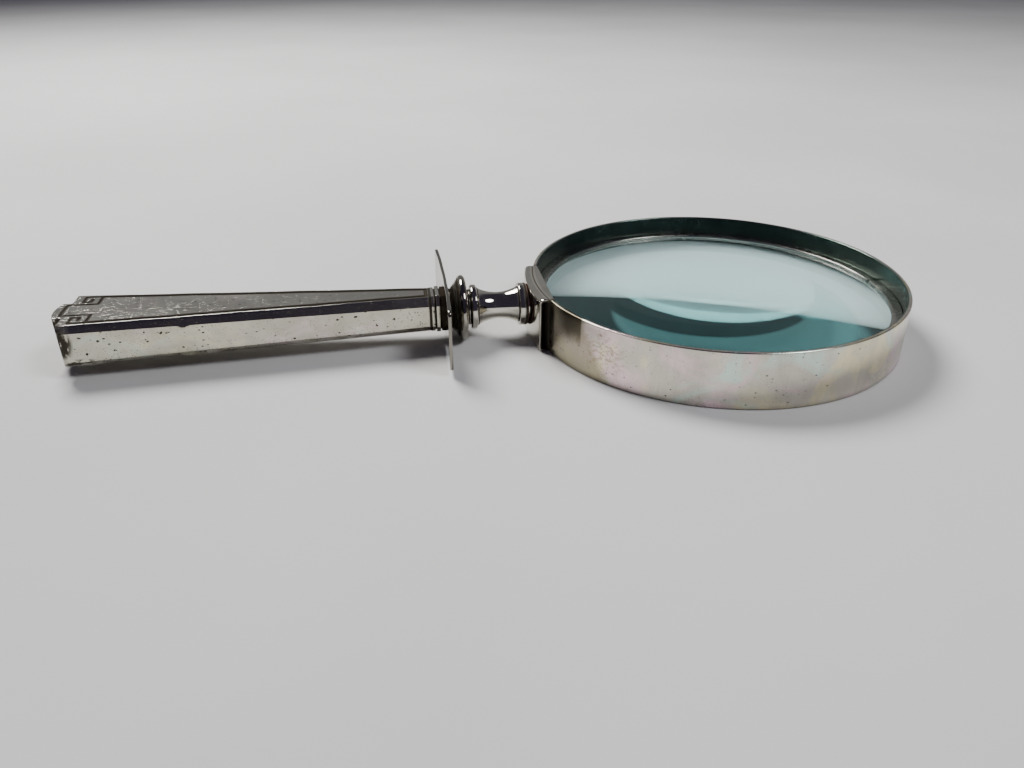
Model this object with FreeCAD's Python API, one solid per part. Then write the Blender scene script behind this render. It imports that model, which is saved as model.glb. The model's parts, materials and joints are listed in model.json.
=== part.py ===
"""Reading lens with a hollow silver handle, in millimetres.

The piece lies flat: +X runs from the handle to the lens, +Z is up.  The origin is the centre of
its footprint on the surface it lies on.  Places along the length are stations: the distance from
the lens's axis back towards the handle.
"""
import FreeCAD, Part
import math
import os

V = FreeCAD.Vector

# Hoop and lens
band_outer_r = 52.0
band_wall = 1.2
band_height = 15.2
band_edge = 0.25
lens_r = 48.9
lens_edge = 2.5
lens_rise = 3.9
lens_bevel = 0.3
ring_inner_r = 47.9
ring_thickness = 0.8
ring_clearance = 0.1
ring_split = 1.5

# Hollow bar across the hoop's handle side: flat inside, bowed round the hoop outside
bar_inner = 49.2
bar_outer_r = 54.4
bar_half_length = 12.8
bar_outer_wall = 0.5
bar_lip = 0.7
bar_round = 1.2

# Rod and its nuts
axis_height = 9.0
rod_r = 2.0
rod_clearance = 0.05
rod_front = 50.25
rod_socket = 50.1
rod_back = 132.0
rod_chamfer = 0.4
nut_play = 0.05
captive_nut_width = 7.0
clamp_nut_flats = 6.4
clamp_nut_thickness = 3.0
nut_room_r = 3.9
nut_room_end = 0.2

# Neck stations, from the bar back to the handle
boss_back = 54.6
washer_back = 54.85
collar_back = 56.95
stem_back = 68.5
flange_back = 70.3
bead_back = 71.2
knop_back = 76.6

# Neck radii
boss_r = 4.6
washer_r = 5.75
collar_r = 5.9
stem_front_r = 5.0
stem_waist_r = 3.7
stem_back_r = 5.3
flange_r = 6.15
bead_r = 4.9
knop_r = 8.95
knop_front_r = 5.2
knop_hub_r = 5.4
soft_edge = 0.25

# Guard
guard_half_length = 24.0
guard_half_height = 8.3
guard_lift = 0.8
guard_thickness = 0.9
guard_sweep = 0.6
guard_corner = 1.5

# Handle: an octagon that widens from the bolster to the butt
bolster_front = knop_back + guard_thickness
handle_front = 81.4
handle_back = 174.5
front_width = 10.6
front_depth = 9.9
front_bevel = 2.0
back_width = 23.0
back_depth = 11.4
back_bevel = 1.6
shell_wall = 0.8
filler_gap = 0.05
crest_half_width = 4.8
crest_shoulder = 176.8
crest_tip = 177.8
butt_corner = 1.4

# Bolster mouldings
bolster_bevel = 2.1

# Greek key border, cut into both broad faces
groove_depth = 0.3
groove_width = 0.55
border_inset = 1.0
key_length = 6.8
key_width = 5.0
key_step = 1.6
key_hook = 2.2
crest_line = 175.3

overall_length = band_outer_r + crest_tip
lens_x = overall_length / 2 - band_outer_r
mid_height = band_height / 2
band_inner_r = band_outer_r - band_wall


def at(station):
    """X of a station."""
    return lens_x - station


def on_axis(station, radius=0.0):
    """Point beside the neck's axis, in the vertical plane through it."""
    return V(at(station), 0, axis_height + radius)


def box(near, far, half_width, low, high):
    """Block between two stations, centred across the object."""
    corner = V(at(far), -half_width, low)
    return Part.makeBox(far - near, 2 * half_width, high - low, corner)


def turned(start, *moves):
    """Solid turned about the neck's axis.

    Points are (station, radius).  A move is the end of a line, or a pair (via, end) for an arc.
    """
    edges = []
    here = start
    for move in list(moves) + [start]:
        if isinstance(move[0], tuple):
            via, end = move
            edges.append(Part.Arc(on_axis(*here), on_axis(*via), on_axis(*end)).toShape())
        else:
            end = move
            edges.append(Part.LineSegment(on_axis(*here), on_axis(*end)).toShape())
        here = end
    face = Part.Face(Part.Wire(edges))
    return face.revolve(on_axis(0), V(1, 0, 0), 360)


def neck_drum(front, back, radius=rod_r + rod_clearance):
    """Cylinder about the neck's axis; without a radius it is the bore for the rod."""
    return Part.makeCylinder(radius, back - front, on_axis(back), V(1, 0, 0))


def soft_drum(front, back, radius, edge=soft_edge):
    """Bored drum with softened rims."""
    bore = rod_r + rod_clearance
    return turned(
        (front, bore), (front, radius - edge), (front + edge, radius),
        (back - edge, radius), (back, radius - edge), (back, bore),
    )


# ---------------------------------------------------------------- hoop and lens

def hoop_ring(inner, outer, low, high, edge):
    """Ring about the lens's axis with softened edges."""
    points = [
        (inner + edge, low), (outer - edge, low), (outer, low + edge), (outer, high - edge),
        (outer - edge, high), (inner + edge, high), (inner, high - edge), (inner, low + edge),
    ]
    wire = Part.makePolygon([V(lens_x + r, 0, z) for r, z in points + points[:1]])
    return Part.Face(wire).revolve(V(lens_x, 0, 0), V(0, 0, 1), 360)


def bezel_band():
    ring = hoop_ring(band_inner_r, band_outer_r, 0, band_height, band_edge)
    gap = box(bar_inner - 10, bar_outer_r + 10, bar_half_length, -1, band_height + 1)
    return ring.cut(gap)


def lens():
    """Bi-convex lens: two spheres' common part, cut to a disc with a bevelled edge."""
    sphere_r = (lens_r ** 2 + lens_rise ** 2) / (2 * lens_rise)
    sink = sphere_r - lens_rise - lens_edge / 2
    low, high = mid_height - lens_edge / 2, mid_height + lens_edge / 2
    rim = hoop_ring(lens_r - 1, lens_r, low, high, lens_bevel)
    core = Part.makeCylinder(lens_r - lens_bevel, band_height, V(lens_x, 0, 0))
    upper = Part.makeSphere(sphere_r, V(lens_x, 0, mid_height - sink))
    lower = Part.makeSphere(sphere_r, V(lens_x, 0, mid_height + sink))
    return upper.common(lower).common(core.fuse(rim)).removeSplitter()


def lens_ring(low):
    """Flat ring beside the lens, trimmed where the bar crosses the hoop."""
    outer = band_inner_r - ring_clearance
    ring = hoop_ring(ring_inner_r, outer, low, low + ring_thickness, ring_clearance)
    return ring.cut(box(bar_inner - ring_clearance, bar_outer_r, band_outer_r, -1, band_height + 1))


def lens_seat_ring():
    return lens_ring(mid_height - lens_edge / 2 - 2 * ring_clearance - ring_thickness)


def lens_retaining_ring():
    """Spring ring, split on the side away from the handle."""
    ring = lens_ring(mid_height + lens_edge / 2 + 2 * ring_clearance)
    slot = box(-band_outer_r, -ring_inner_r + 5, ring_split / 2, -1, band_height + 1)
    return ring.cut(slot)


# ---------------------------------------------------------------- bar, boss and nut

def lens_drum(radius, low=0.0, high=band_height):
    """Disc about the lens's axis."""
    return Part.makeCylinder(radius, high - low, V(lens_x, 0, low))


def mount_bar():
    """Hollow bar, open at both ends, with rounded lips along its bowed outer face."""
    bar = lens_drum(bar_outer_r)
    bar = bar.common(box(bar_inner, bar_outer_r + 1, bar_half_length, 0, band_height))
    lips = [
        edge for edge in bar.Edges
        if edge.Length > 1.5 * bar_half_length and edge.CenterOfMass.x < at(bar_inner + 1)
    ]
    bar = bar.makeFillet(bar_round, lips)
    low, high = bar_lip, band_height - bar_lip
    slot = lens_drum(bar_outer_r - bar_outer_wall, low, high).cut(lens_drum(band_outer_r, low, high))
    slot = slot.common(box(bar_inner, bar_outer_r, bar_half_length + 1, low, high))
    return bar.cut(slot).cut(neck_drum(rod_socket, bar_outer_r + 1))


def captive_nut():
    """Square nut that the hollow bar keeps from turning."""
    half = captive_nut_width / 2
    front = band_outer_r + nut_play
    back = math.sqrt((bar_outer_r - bar_outer_wall) ** 2 - half ** 2) - nut_play
    nut = box(front, back, half, axis_height - half, axis_height + half)
    return nut.cut(neck_drum(front, back))


def neck_boss():
    """Low pad that gives the bowed bar a flat seat."""
    pad = neck_drum(bar_outer_r - 1, boss_back, boss_r)
    return pad.cut(lens_drum(bar_outer_r)).cut(neck_drum(bar_outer_r - 2, boss_back + 1))


def neck_washer():
    bore = rod_r + rod_clearance
    return turned(
        (boss_back, bore), (boss_back, washer_r), (washer_back, washer_r), (washer_back, bore),
    )


# ---------------------------------------------------------------- neck and guard

def tang_rod():
    tip_r = rod_r - rod_chamfer
    return turned(
        (rod_front, 0), (rod_front, tip_r), (rod_front + rod_chamfer, rod_r),
        (rod_back - rod_chamfer, rod_r), (rod_back, tip_r), (rod_back, 0),
    )


def neck_collar():
    return soft_drum(washer_back, collar_back, collar_r)


def neck_stem():
    """Waisted spindle: one hollow curve between two flared ends."""
    bore = rod_r + rod_clearance
    waist = (collar_back + stem_back) / 2
    return turned(
        (collar_back, bore), (collar_back, stem_front_r),
        ((waist, stem_waist_r), (stem_back - soft_edge, stem_back_r)),
        (stem_back, stem_back_r), (stem_back, bore),
    )


def neck_flange():
    return soft_drum(stem_back, flange_back, flange_r, 2 * soft_edge)


def neck_bead():
    bore = rod_r + rod_clearance
    half = (bead_back - flange_back) / 2
    rim = bead_r - half
    return turned(
        (flange_back, bore), (flange_back, rim),
        ((flange_back + half, bead_r), (bead_back, rim)), (bead_back, bore),
    )


def neck_knop():
    """Moulded knop: a stepped face towards the lens, a round rim, a cone and a hub."""
    bore = rod_r + rod_clearance
    face = bead_back + 0.25
    rim = bead_back + 1.4
    return turned(
        (bead_back, bore), (bead_back, knop_front_r), (face, knop_front_r + 0.9),
        (face - 0.1, 7.3), (face, 8.0),
        ((rim, knop_r), (rim + 0.9, 8.4)),
        (rim + 1.0, 7.9), (rim + 2.8, knop_hub_r + 0.3), (rim + 2.9, knop_hub_r),
        (knop_back, knop_hub_r), (knop_back, bore),
    )


def guard_plate():
    """Thin plate across the neck, swept back towards the handle at both ends."""
    def bow(station):
        tips = [V(at(station + guard_sweep), side * guard_half_length, 0) for side in (-1, 1)]
        return tips[0], V(at(station), 0, 0), tips[1]

    front = bow(knop_back)
    back = bow(knop_back + guard_thickness)
    edges = [
        Part.Arc(*front).toShape(), Part.LineSegment(front[2], back[2]).toShape(),
        Part.Arc(*back).toShape(), Part.LineSegment(back[0], front[0]).toShape(),
    ]
    plan = Part.Face(Part.Wire(Part.__sortEdges__(edges)))
    plan.translate(V(0, 0, axis_height + guard_lift - guard_half_height))
    plate = plan.extrude(V(0, 0, 2 * guard_half_height))
    corners = [
        edge for edge in plate.Edges
        if edge.Length < 2 * guard_thickness and abs(edge.CenterOfMass.y) > guard_half_length - 1
    ]
    plate = plate.makeFillet(guard_corner, corners)
    return plate.cut(neck_drum(knop_back - 1, knop_back + guard_thickness + 1))


# ---------------------------------------------------------------- handle

def octagon(station, width, depth, bevel):
    """Bevelled oblong across the handle at a station."""
    w, d = width / 2, depth / 2
    corners = [
        (-w + bevel, -d), (w - bevel, -d), (w, -d + bevel), (w, d - bevel),
        (w - bevel, d), (-w + bevel, d), (-w, d - bevel), (-w, -d + bevel),
    ]
    return Part.makePolygon([V(at(station), y, axis_height + z) for y, z in corners + corners[:1]])


def share(station):
    """How far a station lies from the handle's front to its back, from 0 to 1."""
    return (station - handle_front) / (handle_back - handle_front)


def handle_octagon(station, inset=0.0):
    """The handle's own section at a station, drawn in all round by an inset."""
    t = share(station)
    width = front_width + t * (back_width - front_width) - 2 * inset
    depth = front_depth + t * (back_depth - front_depth) - 2 * inset
    bevel = front_bevel + t * (back_bevel - front_bevel) - inset * (2 - math.sqrt(2))
    return octagon(station, width, depth, bevel)


def handle_body(front, back, inset=0.0):
    sections = [handle_octagon(front, inset), handle_octagon(back, inset)]
    return Part.makeLoft(sections, True, True)


def butt_plan(inset=0.0):
    """Plan of the handle's end: two round-cornered shoulders with an arched crest between."""
    reach = back_width
    corner = butt_corner
    shoulder = handle_back - inset
    half = back_width / 2 - inset
    crest = crest_half_width - inset
    low = axis_height - back_depth

    def p(station, y):
        return V(at(station), y, low)

    def side(sign):
        return [
            Part.LineSegment(p(handle_front, sign * reach), p(shoulder - corner, sign * reach)),
            Part.LineSegment(p(shoulder - corner, sign * reach), p(shoulder - corner, sign * half)),
            Part.Arc(
                p(shoulder - corner, sign * half),
                p(shoulder - corner * (1 - math.sqrt(0.5)), sign * (half - corner * (1 - math.sqrt(0.5)))),
                p(shoulder, sign * (half - corner)),
            ),
            Part.LineSegment(p(shoulder, sign * (half - corner)), p(shoulder, sign * crest)),
            Part.LineSegment(p(shoulder, sign * crest), p(crest_shoulder - inset, sign * crest)),
        ]

    lines = side(-1) + side(1)
    lines.append(Part.LineSegment(p(handle_front, -reach), p(handle_front, reach)))
    lines.append(Part.Arc(
        p(crest_shoulder - inset, -crest), p(crest_tip - inset, 0), p(crest_shoulder - inset, crest)))
    wire = Part.Wire(Part.__sortEdges__([line.toShape() for line in lines]))
    return Part.Face(wire).extrude(V(0, 0, 2 * back_depth))


def handle_solid(inset=0.0):
    """Outer form of the handle, or its hollow when an inset is given."""
    front = handle_front + inset
    return handle_body(front, crest_tip, inset).common(butt_plan(inset))


def strip(start, end, width=groove_width):
    """Upright bar over a straight stretch of groove, from plan points (station, y)."""
    a = V(at(start[0]), start[1], 0)
    b = V(at(end[0]), end[1], 0)
    along = (b - a).normalize()
    across = V(-along.y, along.x, 0) * (width / 2)
    lengthen = along * (width / 2)
    a, b = a - lengthen, b + lengthen
    plan = Part.makePolygon([a + across, b + across, b - across, a - across, a + across])
    return Part.Face(plan).extrude(V(0, 0, 2 * axis_height))


def face_edge(station):
    """Half the width of the broad flat at a station."""
    t = share(station)
    width = front_width + t * (back_width - front_width)
    bevel = front_bevel + t * (back_bevel - front_bevel)
    return width / 2 - bevel


def key_path(sign):
    """Square spiral at one corner of the butt, the long border line and half the crest line."""
    back = handle_back - border_inset
    front = handle_back - key_length
    outer = face_edge(front) - border_inset
    inner = outer - key_width
    edge = face_edge(handle_front) - border_inset
    points = [
        (crest_line, inner), (front, inner), (front, outer), (back - key_step, outer),
        (back - key_step, inner + key_step), (front + key_hook, inner + key_step),
        (front + key_hook, outer - key_step),
    ]
    border = [(front, outer), (handle_front + border_inset, edge)]
    crest = [(crest_line, 0), (crest_line, inner)]
    return [[(s, sign * y) for s, y in line] for line in (points, border, crest)]


def engraving():
    """All grooves of both broad faces, as a skin of the groove's depth."""
    skin = handle_solid().cut(handle_body(handle_front - 1, crest_tip + 1, groove_depth))
    edge = face_edge(handle_front) - border_inset
    ends = handle_front + border_inset
    bars = [strip((ends, -edge), (ends, edge))]
    for sign in (-1, 1):
        for line in key_path(sign):
            bars += [strip(a, b) for a, b in zip(line, line[1:])]
    return skin.common(bars[0].multiFuse(bars[1:]))


def handle_shell(upper):
    """Half of the hollow handle, split along its narrow sides."""
    tube = handle_solid().cut(handle_solid(shell_wall)).cut(engraving())
    tube = tube.cut(neck_drum(handle_front - 1, handle_front + clamp_nut_thickness, nut_room_r))
    low = axis_height if upper else axis_height - back_depth
    return tube.common(box(handle_front - 1, crest_tip + 1, back_width, low, low + back_depth))


def handle_bolster():
    """Eight-sided ferrule behind the guard: a block and two narrow bands, parted by grooves."""
    steps = [
        (bolster_front, 78.5, 11.0, 10.4),
        (78.5, 78.8, 10.0, 9.4),
        (78.8, 79.9, 11.3, 10.7),
        (79.9, 80.2, 10.0, 9.4),
        (80.2, handle_front, 10.9, 10.2),
    ]
    blocks = []
    for front, back, width, depth in steps:
        bevel = bolster_bevel - (11.0 - width) / 2
        run = V(at(back) - at(front), 0, 0)
        blocks.append(Part.Face(octagon(front, width, depth, bevel)).extrude(run))
    ferrule = blocks[0].multiFuse(blocks[1:]).removeSplitter()
    return ferrule.cut(neck_drum(bolster_front - 1, handle_front + 1)).cut(guard_plate())


def clamp_nut():
    front = handle_front
    corner_r = clamp_nut_flats / math.sqrt(3)
    turns = [i * math.pi / 3 for i in range(7)]
    corners = [
        V(at(front), corner_r * math.cos(turn), axis_height + corner_r * math.sin(turn))
        for turn in turns
    ]
    nut = Part.Face(Part.makePolygon(corners)).extrude(V(-clamp_nut_thickness, 0, 0))
    return nut.cut(neck_drum(front - 1, front + clamp_nut_thickness + 1))


def handle_filler():
    """Pitch that fills the hollow handle round the rod."""
    filling = handle_solid(shell_wall + filler_gap)
    nut_room = neck_drum(handle_front - 1, handle_front + clamp_nut_thickness + nut_room_end, nut_room_r)
    rod_room = neck_drum(handle_front - 1, rod_back + rod_clearance)
    return filling.cut(nut_room).cut(rod_room)


PIECES = {
    "bezel_band": bezel_band,
    "lens": lens,
    "lens_seat_ring": lens_seat_ring,
    "lens_retaining_ring": lens_retaining_ring,
    "mount_bar": mount_bar,
    "captive_nut": captive_nut,
    "neck_boss": neck_boss,
    "neck_washer": neck_washer,
    "tang_rod": tang_rod,
    "neck_collar": neck_collar,
    "neck_stem": neck_stem,
    "neck_flange": neck_flange,
    "neck_bead": neck_bead,
    "neck_knop": neck_knop,
    "guard_plate": guard_plate,
    "handle_bolster": handle_bolster,
    "clamp_nut": clamp_nut,
    "handle_filler": handle_filler,
    "handle_shell_top": lambda: handle_shell(True),
    "handle_shell_bottom": lambda: handle_shell(False),
}

os.makedirs("parts", exist_ok=True)
for name, make in PIECES.items():
    shape = make()
    solids = shape.Solids
    assert solids and all(solid.isValid() for solid in solids), name
    whole = solids[0] if len(solids) == 1 else Part.makeCompound(solids)
    whole.exportStep(f"parts/{name}.step")
    print(f"{name:22s} {len(solids)} solid  {whole.Volume:9.1f} mm3  {whole.BoundBox}")
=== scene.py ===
"""Looks of the silver-handled reading lens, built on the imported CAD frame.

Lengths are in millimetres until a mesh is made.  A station is the distance from the lens's axis
back towards the handle; the neck's axis lies at AXIS_Z above the surface.
"""

import bmesh
import bpy
import json
import math
import numpy as np
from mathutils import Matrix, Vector

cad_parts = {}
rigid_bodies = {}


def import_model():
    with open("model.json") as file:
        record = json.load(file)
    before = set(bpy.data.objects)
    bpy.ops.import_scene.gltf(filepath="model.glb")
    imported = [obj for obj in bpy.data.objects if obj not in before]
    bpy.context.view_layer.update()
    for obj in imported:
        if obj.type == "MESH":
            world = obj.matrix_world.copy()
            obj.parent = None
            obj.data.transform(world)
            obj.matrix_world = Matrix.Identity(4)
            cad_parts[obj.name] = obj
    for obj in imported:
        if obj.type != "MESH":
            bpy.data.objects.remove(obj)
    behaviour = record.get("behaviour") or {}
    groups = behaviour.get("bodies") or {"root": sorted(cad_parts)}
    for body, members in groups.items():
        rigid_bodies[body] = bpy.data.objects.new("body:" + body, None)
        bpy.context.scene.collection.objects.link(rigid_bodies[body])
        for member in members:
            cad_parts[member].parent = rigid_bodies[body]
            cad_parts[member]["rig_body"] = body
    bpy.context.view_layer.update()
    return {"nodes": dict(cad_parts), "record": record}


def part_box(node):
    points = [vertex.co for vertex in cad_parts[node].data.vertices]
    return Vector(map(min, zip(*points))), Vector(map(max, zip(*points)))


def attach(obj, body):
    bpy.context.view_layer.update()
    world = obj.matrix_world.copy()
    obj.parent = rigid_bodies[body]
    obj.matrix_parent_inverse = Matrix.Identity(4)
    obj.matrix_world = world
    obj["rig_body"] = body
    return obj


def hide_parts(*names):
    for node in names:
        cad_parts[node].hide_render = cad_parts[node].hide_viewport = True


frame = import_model()

MM = 0.001
TURN = 2 * math.pi


def corners_of(node):
    low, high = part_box(node)
    return np.array(low) / MM, np.array(high) / MM


band_low, band_high = corners_of("bezel_band")
BAND_TOP = band_high[2]
BAND_R = (band_high[1] - band_low[1]) / 2  # outer radius of the hoop
LENS_X = band_high[0] - BAND_R
AXIS_Z = sum(corner[2] for corner in corners_of("neck_knop")) / 2
slot_of = {part["node"]: part["material_slot"] for part in frame["record"]["subparts"]}


def span(node):
    """Stations where a node starts and ends."""
    low, high = corners_of(node)
    return LENS_X - high[0], LENS_X - low[0]


def half_width(node):
    low, high = corners_of(node)
    return (high[1] - low[1]) / 2


WALL = 1.2          # the hoop's wall
BORE = 2.05         # radius of the hole for the rod
BAR_HALF = half_width("mount_bar")
MID_Z = BAND_TOP / 2


# ------------------------------------------------------------------ shape helpers

def soften(corners, steps=5, closed=True):
    """Polyline with rounded corners.  A corner is (a, b) or (a, b, radius)."""
    path = []
    for i, corner in enumerate(corners):
        here = np.array(corner[:2], float)
        radius = corner[2] if len(corner) > 2 else 0
        if not radius or (not closed and i in (0, len(corners) - 1)):
            path.append(here)
            continue
        back = np.array(corners[i - 1][:2], float) - here
        ahead = np.array(corners[(i + 1) % len(corners)][:2], float) - here
        room = 0.49 * min(np.linalg.norm(back), np.linalg.norm(ahead))
        back /= np.linalg.norm(back)
        ahead /= np.linalg.norm(ahead)
        half = math.acos(max(-1, min(1, float(back @ ahead)))) / 2
        reach = min(radius / math.tan(half), room)
        radius = reach * math.tan(half)
        middle = back + ahead
        centre = here + middle / np.linalg.norm(middle) * radius / math.sin(half)
        a, b = here + back * reach - centre, here + ahead * reach - centre
        turn = math.atan2(a[0] * b[1] - a[1] * b[0], float(a @ b))
        for k in range(steps + 1):
            c, s = math.cos(turn * k / steps), math.sin(turn * k / steps)
            path.append(centre + (a[0] * c - a[1] * s, a[0] * s + a[1] * c))
    return np.array(path)


def densify(path, longest, closed=True):
    """The same path with long straight runs divided."""
    out = []
    count = len(path) if closed else len(path) - 1
    for i in range(count):
        a, b = path[i], path[(i + 1) % len(path)]
        parts = max(1, math.ceil(np.linalg.norm(b - a) / longest))
        out += [a + (b - a) * k / parts for k in range(parts)]
    if not closed:
        out.append(path[-1])
    return np.array(out)


def skin(rings, wrap=True, cap=False):
    """Points and faces of a surface through closed rings."""
    count, size = rings.shape[:2]
    faces = []
    for i in range(count if wrap else count - 1):
        j = (i + 1) % count
        for k in range(size):
            n = (k + 1) % size
            faces.append((i * size + k, i * size + n, j * size + n, j * size + k))
    if cap:
        faces += [tuple(range(size))[::-1], tuple(range((count - 1) * size, count * size))]
    return rings.reshape(-1, 3), faces


def turned(profile, steps=144):
    """Closed profile of (station, radius) turned about the neck's axis."""
    angle = np.arange(steps) / steps * TURN
    rings = np.empty((steps, len(profile), 3))
    rings[:, :, 0] = LENS_X - profile[:, 0]
    rings[:, :, 1] = profile[:, 1] * np.cos(angle)[:, None]
    rings[:, :, 2] = AXIS_Z + profile[:, 1] * np.sin(angle)[:, None]
    return skin(rings)


def rounded_box(a0, a1, b0, b1, radii, steps=5):
    """Closed path round a box, with one corner radius per corner (a0b0, a1b0, a1b1, a0b1)."""
    return soften([(a0, b0, radii[0]), (a1, b0, radii[1]), (a1, b1, radii[2]), (a0, b1, radii[3])],
                  steps)


# Places in the neck's (station, radius) plane where polish and dirt gather
crevices = np.array([
    (54.3, 4.7), (54.55, 5.4), (54.85, 5.85), (56.95, 5.15), (68.5, 5.35), (70.3, 4.5), (71.2, 4.9),
    (71.45, 6.15), (73.65, 7.9), (75.4, 5.6), (76.6, 5.4), (77.5, 5.4),
])


def neck_grime(points):
    station = LENS_X - points[:, 0]
    radius = np.hypot(points[:, 1], points[:, 2] - AXIS_Z)
    away = np.hypot(station[:, None] - crevices[:, 0], radius[:, None] - crevices[:, 1])
    return np.exp(-(away / 0.33) ** 2).max(axis=1)


def piece(name, node, points, faces, grime_and_shade=None, angle=35):
    """Mesh that stands for a CAD node, on its body and in its material slot."""
    points = np.asarray(points, float)
    mesh = bpy.data.meshes.new(name)
    mesh.from_pydata((points * MM).tolist(), [], faces)
    layer = mesh.attributes.new("grime_and_shade", "FLOAT", "POINT")
    values = np.zeros(len(points)) if grime_and_shade is None else np.clip(grime_and_shade, 0, 1)
    layer.data.foreach_set("value", values.astype(np.float32))
    work = bmesh.new()
    work.from_mesh(mesh)
    bmesh.ops.remove_doubles(work, verts=work.verts, dist=2e-7)
    bmesh.ops.recalc_face_normals(work, faces=work.faces)
    work.to_mesh(mesh)
    work.free()
    mesh.shade_smooth()
    mesh.set_sharp_from_angle(angle=math.radians(angle))
    thing = bpy.data.objects.new(name, mesh)
    bpy.context.scene.collection.objects.link(thing)
    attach(thing, frame["nodes"][node]["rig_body"])
    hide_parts(node)
    mesh.materials.append(looks[slot_of[node]])
    return thing


# ------------------------------------------------------------------ materials

class Paint:
    """Builds a node material in short calls."""

    def __init__(self, name):
        self.material = bpy.data.materials.new(name)
        self.material.use_nodes = True
        self.tree = self.material.node_tree
        self.tree.nodes.clear()
        self.out = self.tree.nodes.new("ShaderNodeOutputMaterial")
        self.shader = self.tree.nodes.new("ShaderNodeBsdfPrincipled")
        self.tree.links.new(self.shader.outputs[0], self.out.inputs["Surface"])
        place = self.tree.nodes.new("ShaderNodeTexCoord")
        self.place = self.node("ShaderNodeVectorMath", [place.outputs["Object"], (1000,) * 3],
                               operation="MULTIPLY")

    def node(self, kind, values=(), output=0, **settings):
        made = self.tree.nodes.new(kind)
        for key, value in settings.items():
            setattr(made, key, value)
        pairs = values.items() if isinstance(values, dict) else enumerate(values)
        for key, value in pairs:
            if value is None:
                continue
            if isinstance(value, bpy.types.NodeSocket):
                self.tree.links.new(value, made.inputs[key])
            else:
                made.inputs[key].default_value = value
        return made.outputs[output]

    def set(self, **values):
        for key, value in values.items():
            socket = self.shader.inputs[key.replace("_", " ")]
            if isinstance(value, bpy.types.NodeSocket):
                self.tree.links.new(value, socket)
            else:
                socket.default_value = value

    def scaled(self, factors, shift=(0, 0, 0)):
        return self.node("ShaderNodeMapping", {"Vector": self.place, "Location": shift,
                                               "Scale": factors})

    def noise(self, vector, scale, detail=3, roughness=0.5, distortion=0.0):
        return self.node("ShaderNodeTexNoise", {
            "Vector": vector, "Scale": scale, "Detail": detail, "Roughness": roughness,
            "Distortion": distortion})

    def cells(self, vector, scale, feature="F1"):
        return self.node("ShaderNodeTexVoronoi", {"Vector": vector, "Scale": scale}, feature=feature)

    def fit(self, value, low, high, to_low=0.0, to_high=1.0):
        return self.node("ShaderNodeMapRange", [value, low, high, to_low, to_high],
                         interpolation_type="SMOOTHSTEP")

    def math(self, operation, a, b=None, clamp=False):
        return self.node("ShaderNodeMath", [a, b], operation=operation, use_clamp=clamp)

    def mix(self, share, a, b, blend="MIX"):
        return self.node("ShaderNodeMix", {0: share, 6: a, 7: b}, output=2, data_type="RGBA",
                         blend_type=blend)

    def axis(self, index):
        return self.node("ShaderNodeSeparateXYZ", [self.place], output=index)

    def grime_and_shade(self):
        return self.node("ShaderNodeAttribute", output=2, attribute_name="grime_and_shade")

    def near(self, at, reach):
        """1 at a point of the row frame in mm, falling to 0 at its reach."""
        gap = self.node("ShaderNodeVectorMath", [self.place, at], operation="SUBTRACT")
        shrunk = self.node("ShaderNodeVectorMath", [gap, tuple(1 / r for r in reach)],
                           operation="MULTIPLY")
        away = self.node("ShaderNodeVectorMath", [shrunk], output=1, operation="LENGTH")
        return self.fit(away, 0.25, 1.0, 1.0, 0.0)

    def radius(self, centre):
        """Distance in plan from a point (x, y)."""
        gap = self.node("ShaderNodeVectorMath", [self.place, (*centre, 0)], operation="SUBTRACT")
        gap = self.node("ShaderNodeVectorMath", [gap, (1, 1, 0)], operation="MULTIPLY")
        return self.node("ShaderNodeVectorMath", [gap], output=1, operation="LENGTH")

    def beyond(self, station, soft):
        """1 past a station, towards the butt, and 0 before it."""
        return self.fit(self.axis(0), LENS_X - station + soft, LENS_X - station - soft)

    def disc(self, centre, radius, soft):
        """1 within a circle in plan, 0 outside it."""
        return self.fit(self.radius(centre), radius - soft, radius + soft, 1.0, 0.0)

    def bump(self, height, strength, distance=0.1):
        return self.node("ShaderNodeBump", {"Height": height, "Strength": strength,
                                            "Distance": distance * MM})


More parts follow.
